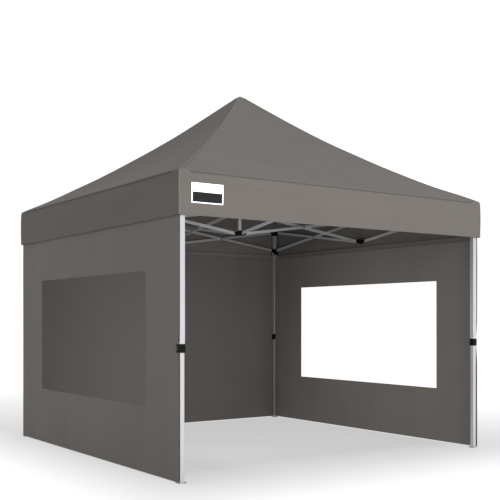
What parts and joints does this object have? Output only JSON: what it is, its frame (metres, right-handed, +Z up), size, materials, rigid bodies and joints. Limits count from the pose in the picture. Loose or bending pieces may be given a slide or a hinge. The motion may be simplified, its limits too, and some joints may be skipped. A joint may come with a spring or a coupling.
{
  "type": "pop-up gazebo tent",
  "caption": "Square pop-up gazebo with a pyramid canopy, scissor frame on telescopic legs, and three side walls, two with clear windows.",
  "frame": {"origin": "on the ground, under the middle of the frame and its mast", "axes": "+Z up; the open side faces -Y; the left wall is on -X, the back wall on +Y and the right wall on +X"},
  "size_m": [3, 3, 3.145],
  "materials": {
    "fabric": "coated woven polyester, dark warm grey, matt",
    "clear_window": "clear flexible vinyl, slightly glossy",
    "leg_metal": "pale silver-grey powder coat",
    "truss_metal": "silver-grey powder coat, satin",
    "black_plastic": "black moulded nylon, fine texture",
    "button_plastic": "pale grey push button"
  },
  "bodies": {
    "hub_upper": {"hub_upper": "black_plastic", "canopy": "fabric", "wall_left": "fabric", "wall_back": "fabric", "wall_right": "fabric", "windows": "clear_window"},
    "arm_back_top": {"arm_back_top": "truss_metal"},
    "arm_back_low": {"arm_back_low": "truss_metal"},
    "mid_upper_back": {"mid_upper_back": "black_plastic"},
    "mid_lower_back": {"mid_lower_back": "black_plastic"},
    "hub_lower": {"hub_lower": "black_plastic", "mast": "truss_metal"},
    "truss_back_left_top": {"truss_back_left_top": "truss_metal"},
    "truss_back_left_low": {"truss_back_left_low": "truss_metal"},
    "leg_back_left": {"outer_leg_back_left": "leg_metal", "leg_bracket_back_left": "black_plastic"},
    "slider_back_left": {"slider_back_left": "black_plastic"},
    "inner_leg_back_left": {"inner_leg_back_left": "leg_metal"},
    "slider_button_back_left": {"slider_button_back_left": "button_plastic"},
    "truss_back_right_top": {"truss_back_right_top": "truss_metal"},
    "truss_back_right_low": {"truss_back_right_low": "truss_metal"},
    "arm_left_top": {"arm_left_top": "truss_metal"},
    "arm_left_low": {"arm_left_low": "truss_metal"},
    "mid_upper_left": {"mid_upper_left": "black_plastic"},
    "mid_lower_left": {"mid_lower_left": "black_plastic"},
    "truss_left_front_top": {"truss_left_front_top": "truss_metal"},
    "truss_left_front_low": {"truss_left_front_low": "truss_metal"},
    "leg_front_left": {"outer_leg_front_left": "leg_metal", "leg_bracket_front_left": "black_plastic"},
    "slider_front_left": {"slider_front_left": "black_plastic"},
    "inner_leg_front_left": {"inner_leg_front_left": "leg_metal"},
    "slider_button_front_left": {"slider_button_front_left": "button_plastic"},
    "truss_left_back_top": {"truss_left_back_top": "truss_metal"},
    "truss_left_back_low": {"truss_left_back_low": "truss_metal"},
    "arm_front_top": {"arm_front_top": "truss_metal"},
    "arm_front_low": {"arm_front_low": "truss_metal"},
    "mid_upper_front": {"mid_upper_front": "black_plastic"},
    "mid_lower_front": {"mid_lower_front": "black_plastic"},
    "truss_front_right_top": {"truss_front_right_top": "truss_metal"},
    "truss_front_right_low": {"truss_front_right_low": "truss_metal"},
    "leg_front_right": {"outer_leg_front_right": "leg_metal", "leg_bracket_front_right": "black_plastic"},
    "slider_front_right": {"slider_front_right": "black_plastic"},
    "inner_leg_front_right": {"inner_leg_front_right": "leg_metal"},
    "slider_button_front_right": {"slider_button_front_right": "button_plastic"},
    "truss_front_left_top": {"truss_front_left_top": "truss_metal"},
    "truss_front_left_low": {"truss_front_left_low": "truss_metal"},
    "arm_right_top": {"arm_right_top": "truss_metal"},
    "arm_right_low": {"arm_right_low": "truss_metal"},
    "mid_upper_right": {"mid_upper_right": "black_plastic"},
    "mid_lower_right": {"mid_lower_right": "black_plastic"},
    "truss_right_back_top": {"truss_right_back_top": "truss_metal"},
    "truss_right_back_low": {"truss_right_back_low": "truss_metal"},
    "leg_back_right": {"outer_leg_back_right": "leg_metal", "leg_bracket_back_right": "black_plastic"},
    "slider_back_right": {"slider_back_right": "black_plastic"},
    "inner_leg_back_right": {"inner_leg_back_right": "leg_metal"},
    "slider_button_back_right": {"slider_button_back_right": "button_plastic"},
    "truss_right_front_top": {"truss_right_front_top": "truss_metal"},
    "truss_right_front_low": {"truss_right_front_low": "truss_metal"}
  },
  "joints": [
    {"name": "frame_fold", "type": "hinge", "parent": "hub_upper", "child": "arm_back_top", "pos_m": [-0.007, 0.046, 2.096], "axis": [-1, 0, 0], "range_deg": [0, 75.7], "deforming": ["canopy", "wall_left", "wall_back", "wall_right", "windows"]},
    {"name": "fold_mid_lower_back", "type": "hinge", "parent": "arm_back_top", "child": "mid_lower_back", "pos_m": [-0.007, 1.416, 1.896], "axis": [-1, 0, 0], "range_deg": [-76.2, 0]},
    {"name": "fold_arm_back_low", "type": "hinge", "parent": "arm_back_top", "child": "arm_back_low", "pos_m": [0, 0.731, 1.996], "axis": [-1, 0, 0], "range_deg": [-151.9, 0]},
    {"name": "fold_mid_upper_back", "type": "hinge", "parent": "arm_back_low", "child": "mid_upper_back", "pos_m": [0.007, 1.416, 2.096], "axis": [-1, 0, 0], "range_deg": [0, 76.2]},
    {"name": "fold_hub_lower", "type": "hinge", "parent": "arm_back_low", "child": "hub_lower", "pos_m": [0.007, 0.046, 1.896], "axis": [-1, 0, 0], "range_deg": [0, 76.2]},
    {"name": "fold_truss_back_left_top", "type": "hinge", "parent": "mid_lower_back", "child": "truss_back_left_top", "pos_m": [-0.046, 1.469, 1.896], "axis": [0, 1, 0], "range_deg": [0, 76.2]},
    {"name": "fold_truss_back_left_low", "type": "hinge", "parent": "truss_back_left_top", "child": "truss_back_left_low", "pos_m": [-0.731, 1.462, 1.996], "axis": [0, 1, 0], "range_deg": [-151.9, 0]},
    {"name": "fold_leg_back_left", "type": "hinge", "parent": "truss_back_left_top", "child": "leg_back_left", "pos_m": [-1.416, 1.469, 2.096], "axis": [0, 1, 0], "range_deg": [-76.2, 0]},
    {"name": "fold_slider_back_left", "type": "hinge", "parent": "truss_back_left_low", "child": "slider_back_left", "pos_m": [-1.416, 1.455, 1.896], "axis": [0, 1, 0], "range_deg": [0, 76.2]},
    {"name": "height_back_left", "type": "slide", "parent": "leg_back_left", "child": "inner_leg_back_left", "axis": [0, 0, 1], "range_m": [0, 0.6]},
    {"name": "press_back_left", "type": "slide", "parent": "slider_back_left", "child": "slider_button_back_left", "axis": [-1, 0, 0], "range_m": [0, 0.003], "stiffness_N_per_m": 400},
    {"name": "fold_truss_back_right_top", "type": "hinge", "parent": "mid_lower_back", "child": "truss_back_right_top", "pos_m": [0.046, 1.469, 1.896], "axis": [0, -1, 0], "range_deg": [0, 76.2]},
    {"name": "fold_truss_back_right_low", "type": "hinge", "parent": "truss_back_right_top", "child": "truss_back_right_low", "pos_m": [0.731, 1.462, 1.996], "axis": [0, -1, 0], "range_deg": [-151.9, 0]},
    {"name": "fold_arm_left_top", "type": "hinge", "parent": "hub_upper", "child": "arm_left_top", "pos_m": [-0.046, -0.007, 2.096], "axis": [0, -1, 0], "range_deg": [0, 76.2]},
    {"name": "fold_mid_lower_left", "type": "hinge", "parent": "arm_left_top", "child": "mid_lower_left", "pos_m": [-1.416, -0.007, 1.896], "axis": [0, -1, 0], "range_deg": [-76.2, 0]},
    {"name": "fold_arm_left_low", "type": "hinge", "parent": "arm_left_top", "child": "arm_left_low", "pos_m": [-0.731, 0, 1.996], "axis": [0, -1, 0], "range_deg": [-151.9, 0]},
    {"name": "fold_mid_upper_left", "type": "hinge", "parent": "arm_left_low", "child": "mid_upper_left", "pos_m": [-1.416, 0.007, 2.096], "axis": [0, -1, 0], "range_deg": [0, 76.2]},
    {"name": "fold_truss_left_front_top", "type": "hinge", "parent": "mid_lower_left", "child": "truss_left_front_top", "pos_m": [-1.469, -0.046, 1.896], "axis": [-1, 0, 0], "range_deg": [0, 76.2]},
    {"name": "fold_truss_left_front_low", "type": "hinge", "parent": "truss_left_front_top", "child": "truss_left_front_low", "pos_m": [-1.462, -0.731, 1.996], "axis": [-1, 0, 0], "range_deg": [-151.9, 0]},
    {"name": "fold_leg_front_left", "type": "hinge", "parent": "truss_left_front_top", "child": "leg_front_left", "pos_m": [-1.469, -1.416, 2.096], "axis": [-1, 0, 0], "range_deg": [-76.2, 0]},
    {"name": "fold_slider_front_left", "type": "hinge", "parent": "truss_left_front_low", "child": "slider_front_left", "pos_m": [-1.455, -1.416, 1.896], "axis": [-1, 0, 0], "range_deg": [0, 76.2]},
    {"name": "height_front_left", "type": "slide", "parent": "leg_front_left", "child": "inner_leg_front_left", "axis": [0, 0, 1], "range_m": [0, 0.6]},
    {"name": "press_front_left", "type": "slide", "parent": "slider_front_left", "child": "slider_button_front_left", "axis": [-1, 0, 0], "range_m": [0, 0.003], "stiffness_N_per_m": 400},
    {"name": "fold_truss_left_back_top", "type": "hinge", "parent": "mid_lower_left", "child": "truss_left_back_top", "pos_m": [-1.469, 0.046, 1.896], "axis": [1, 0, 0], "range_deg": [0, 76.2]},
    {"name": "fold_truss_left_back_low", "type": "hinge", "parent": "truss_left_back_top", "child": "truss_left_back_low", "pos_m": [-1.462, 0.731, 1.996], "axis": [1, 0, 0], "range_deg": [-151.9, 0]},
    {"name": "fold_arm_front_top", "type": "hinge", "parent": "hub_upper", "child": "arm_front_top", "pos_m": [0.007, -0.046, 2.096], "axis": [1, 0, 0], "range_deg": [0, 76.2]},
    {"name": "fold_mid_lower_front", "type": "hinge", "parent": "arm_front_top", "child": "mid_lower_front", "pos_m": [0.007, -1.416, 1.896], "axis": [1, 0, 0], "range_deg": [-76.2, 0]},
    {"name": "fold_arm_front_low", "type": "hinge", "parent": "arm_front_top", "child": "arm_front_low", "pos_m": [0, -0.731, 1.996], "axis": [1, 0, 0], "range_deg": [-151.9, 0]},
    {"name": "fold_mid_upper_front", "type": "hinge", "parent": "arm_front_low", "child": "mid_upper_front", "pos_m": [-0.007, -1.416, 2.096], "axis": [1, 0, 0], "range_deg": [0, 76.2]},
    {"name": "fold_truss_front_right_top", "type": "hinge", "parent": "mid_lower_front", "child": "truss_front_right_top", "pos_m": [0.046, -1.469, 1.896], "axis": [0, -1, 0], "range_deg": [0, 76.2]},
    {"name": "fold_truss_front_right_low", "type": "hinge", "parent": "truss_front_right_top", "child": "truss_front_right_low", "pos_m": [0.731, -1.462, 1.996], "axis": [0, -1, 0], "range_deg": [-151.9, 0]},
    {"name": "fold_leg_front_right", "type": "hinge", "parent": "truss_front_right_top", "child": "leg_front_right", "pos_m": [1.416, -1.469, 2.096], "axis": [0, -1, 0], "range_deg": [-76.2, 0]},
    {"name": "fold_slider_front_right", "type": "hinge", "parent": "truss_front_right_low", "child": "slider_front_right", "pos_m": [1.416, -1.455, 1.896], "axis": [0, -1, 0], "range_deg": [0, 76.2]},
    {"name": "height_front_right", "type": "slide", "parent": "leg_front_right", "child": "inner_leg_front_right", "axis": [0, 0, 1], "range_m": [0, 0.6]},
    {"name": "press_front_right", "type": "slide", "parent": "slider_front_right", "child": "slider_button_front_right", "axis": [1, 0, 0], "range_m": [0, 0.003], "stiffness_N_per_m": 400},
    {"name": "fold_truss_front_left_top", "type": "hinge", "parent": "mid_lower_front", "child": "truss_front_left_top", "pos_m": [-0.046, -1.469, 1.896], "axis": [0, 1, 0], "range_deg": [0, 76.2]},
    {"name": "fold_truss_front_left_low", "type": "hinge", "parent": "truss_front_left_top", "child": "truss_front_left_low", "pos_m": [-0.731, -1.462, 1.996], "axis": [0, 1, 0], "range_deg": [-151.9, 0]},
    {"name": "fold_arm_right_top", "type": "hinge", "parent": "hub_upper", "child": "arm_right_top", "pos_m": [0.046, 0.007, 2.096], "axis": [0, 1, 0], "range_deg": [0, 76.2]},
    {"name": "fold_mid_lower_right", "type": "hinge", "parent": "arm_right_top", "child": "mid_lower_right", "pos_m": [1.416, 0.007, 1.896], "axis": [0, 1, 0], "range_deg": [-76.2, 0]},
    {"name": "fold_arm_right_low", "type": "hinge", "parent": "arm_right_top", "child": "arm_right_low", "pos_m": [0.731, 0, 1.996], "axis": [0, 1, 0], "range_deg": [-151.9, 0]},
    {"name": "fold_mid_upper_right", "type": "hinge", "parent": "arm_right_low", "child": "mid_upper_right", "pos_m": [1.416, -0.007, 2.096], "axis": [0, 1, 0], "range_deg": [0, 76.2]},
    {"name": "fold_truss_right_back_top", "type": "hinge", "parent": "mid_lower_right", "child": "truss_right_back_top", "pos_m": [1.469, 0.046, 1.896], "axis": [1, 0, 0], "range_deg": [0, 76.2]},
    {"name": "fold_truss_right_back_low", "type": "hinge", "parent": "truss_right_back_top", "child": "truss_right_back_low", "pos_m": [1.462, 0.731, 1.996], "axis": [1, 0, 0], "range_deg": [-151.9, 0]},
    {"name": "fold_leg_back_right", "type": "hinge", "parent": "truss_right_back_top", "child": "leg_back_right", "pos_m": [1.469, 1.416, 2.096], "axis": [1, 0, 0], "range_deg": [-76.2, 0]},
    {"name": "fold_slider_back_right", "type": "hinge", "parent": "truss_right_back_low", "child": "slider_back_right", "pos_m": [1.455, 1.416, 1.896], "axis": [1, 0, 0], "range_deg": [0, 76.2]},
    {"name": "height_back_right", "type": "slide", "parent": "leg_back_right", "child": "inner_leg_back_right", "axis": [0, 0, 1], "range_m": [0, 0.6]},
    {"name": "press_back_right", "type": "slide", "parent": "slider_back_right", "child": "slider_button_back_right", "axis": [1, 0, 0], "range_m": [0, 0.003], "stiffness_N_per_m": 400},
    {"name": "fold_truss_right_front_top", "type": "hinge", "parent": "mid_lower_right", "child": "truss_right_front_top", "pos_m": [1.469, -0.046, 1.896], "axis": [-1, 0, 0], "range_deg": [0, 76.2]},
    {"name": "fold_truss_right_front_low", "type": "hinge", "parent": "truss_right_front_top", "child": "truss_right_front_low", "pos_m": [1.462, -0.731, 1.996], "axis": [-1, 0, 0], "range_deg": [-151.9, 0]}
  ],
  "couplings": [
    {"joint": "fold_mid_lower_back", "follows": "frame_fold", "ratio": -1},
    {"joint": "fold_arm_back_low", "follows": "frame_fold", "ratio": -2},
    {"joint": "fold_mid_upper_back", "follows": "frame_fold", "ratio": 1},
    {"joint": "fold_hub_lower", "follows": "frame_fold", "ratio": 1},
    {"joint": "fold_truss_back_left_top", "follows": "frame_fold", "ratio": 1},
    {"joint": "fold_truss_back_left_low", "follows": "frame_fold", "ratio": -2},
    {"joint": "fold_leg_back_left", "follows": "frame_fold", "ratio": -1},
    {"joint": "fold_slider_back_left", "follows": "frame_fold", "ratio": 1},
    {"joint": "fold_truss_back_right_top", "follows": "frame_fold", "ratio": 1},
    {"joint": "fold_truss_back_right_low", "follows": "frame_fold", "ratio": -2},
    {"joint": "fold_arm_left_top", "follows": "frame_fold", "ratio": 1},
    {"joint": "fold_mid_lower_left", "follows": "frame_fold", "ratio": -1},
    {"joint": "fold_arm_left_low", "follows": "frame_fold", "ratio": -2},
    {"joint": "fold_mid_upper_left", "follows": "frame_fold", "ratio": 1},
    {"joint": "fold_truss_left_front_top", "follows": "frame_fold", "ratio": 1},
    {"joint": "fold_truss_left_front_low", "follows": "frame_fold", "ratio": -2},
    {"joint": "fold_leg_front_left", "follows": "frame_fold", "ratio": -1},
    {"joint": "fold_slider_front_left", "follows": "frame_fold", "ratio": 1},
    {"joint": "fold_truss_left_back_top", "follows": "frame_fold", "ratio": 1},
    {"joint": "fold_truss_left_back_low", "follows": "frame_fold", "ratio": -2},
    {"joint": "fold_arm_front_top", "follows": "frame_fold", "ratio": 1},
    {"joint": "fold_mid_lower_front", "follows": "frame_fold", "ratio": -1},
    {"joint": "fold_arm_front_low", "follows": "frame_fold", "ratio": -2},
    {"joint": "fold_mid_upper_front", "follows": "frame_fold", "ratio": 1},
    {"joint": "fold_truss_front_right_top", "follows": "frame_fold", "ratio": 1},
    {"joint": "fold_truss_front_right_low", "follows": "frame_fold", "ratio": -2},
    {"joint": "fold_leg_front_right", "follows": "frame_fold", "ratio": -1},
    {"joint": "fold_slider_front_right", "follows": "frame_fold", "ratio": 1},
    {"joint": "fold_truss_front_left_top", "follows": "frame_fold", "ratio": 1},
    {"joint": "fold_truss_front_left_low", "follows": "frame_fold", "ratio": -2},
    {"joint": "fold_arm_right_top", "follows": "frame_fold", "ratio": 1},
    {"joint": "fold_mid_lower_right", "follows": "frame_fold", "ratio": -1},
    {"joint": "fold_arm_right_low", "follows": "frame_fold", "ratio": -2},
    {"joint": "fold_mid_upper_right", "follows": "frame_fold", "ratio": 1},
    {"joint": "fold_truss_right_back_top", "follows": "frame_fold", "ratio": 1},
    {"joint": "fold_truss_right_back_low", "follows": "frame_fold", "ratio": -2},
    {"joint": "fold_leg_back_right", "follows": "frame_fold", "ratio": -1},
    {"joint": "fold_slider_back_right", "follows": "frame_fold", "ratio": 1},
    {"joint": "fold_truss_right_front_top", "follows": "frame_fold", "ratio": 1},
    {"joint": "fold_truss_right_front_low", "follows": "frame_fold", "ratio": -2}
  ]
}
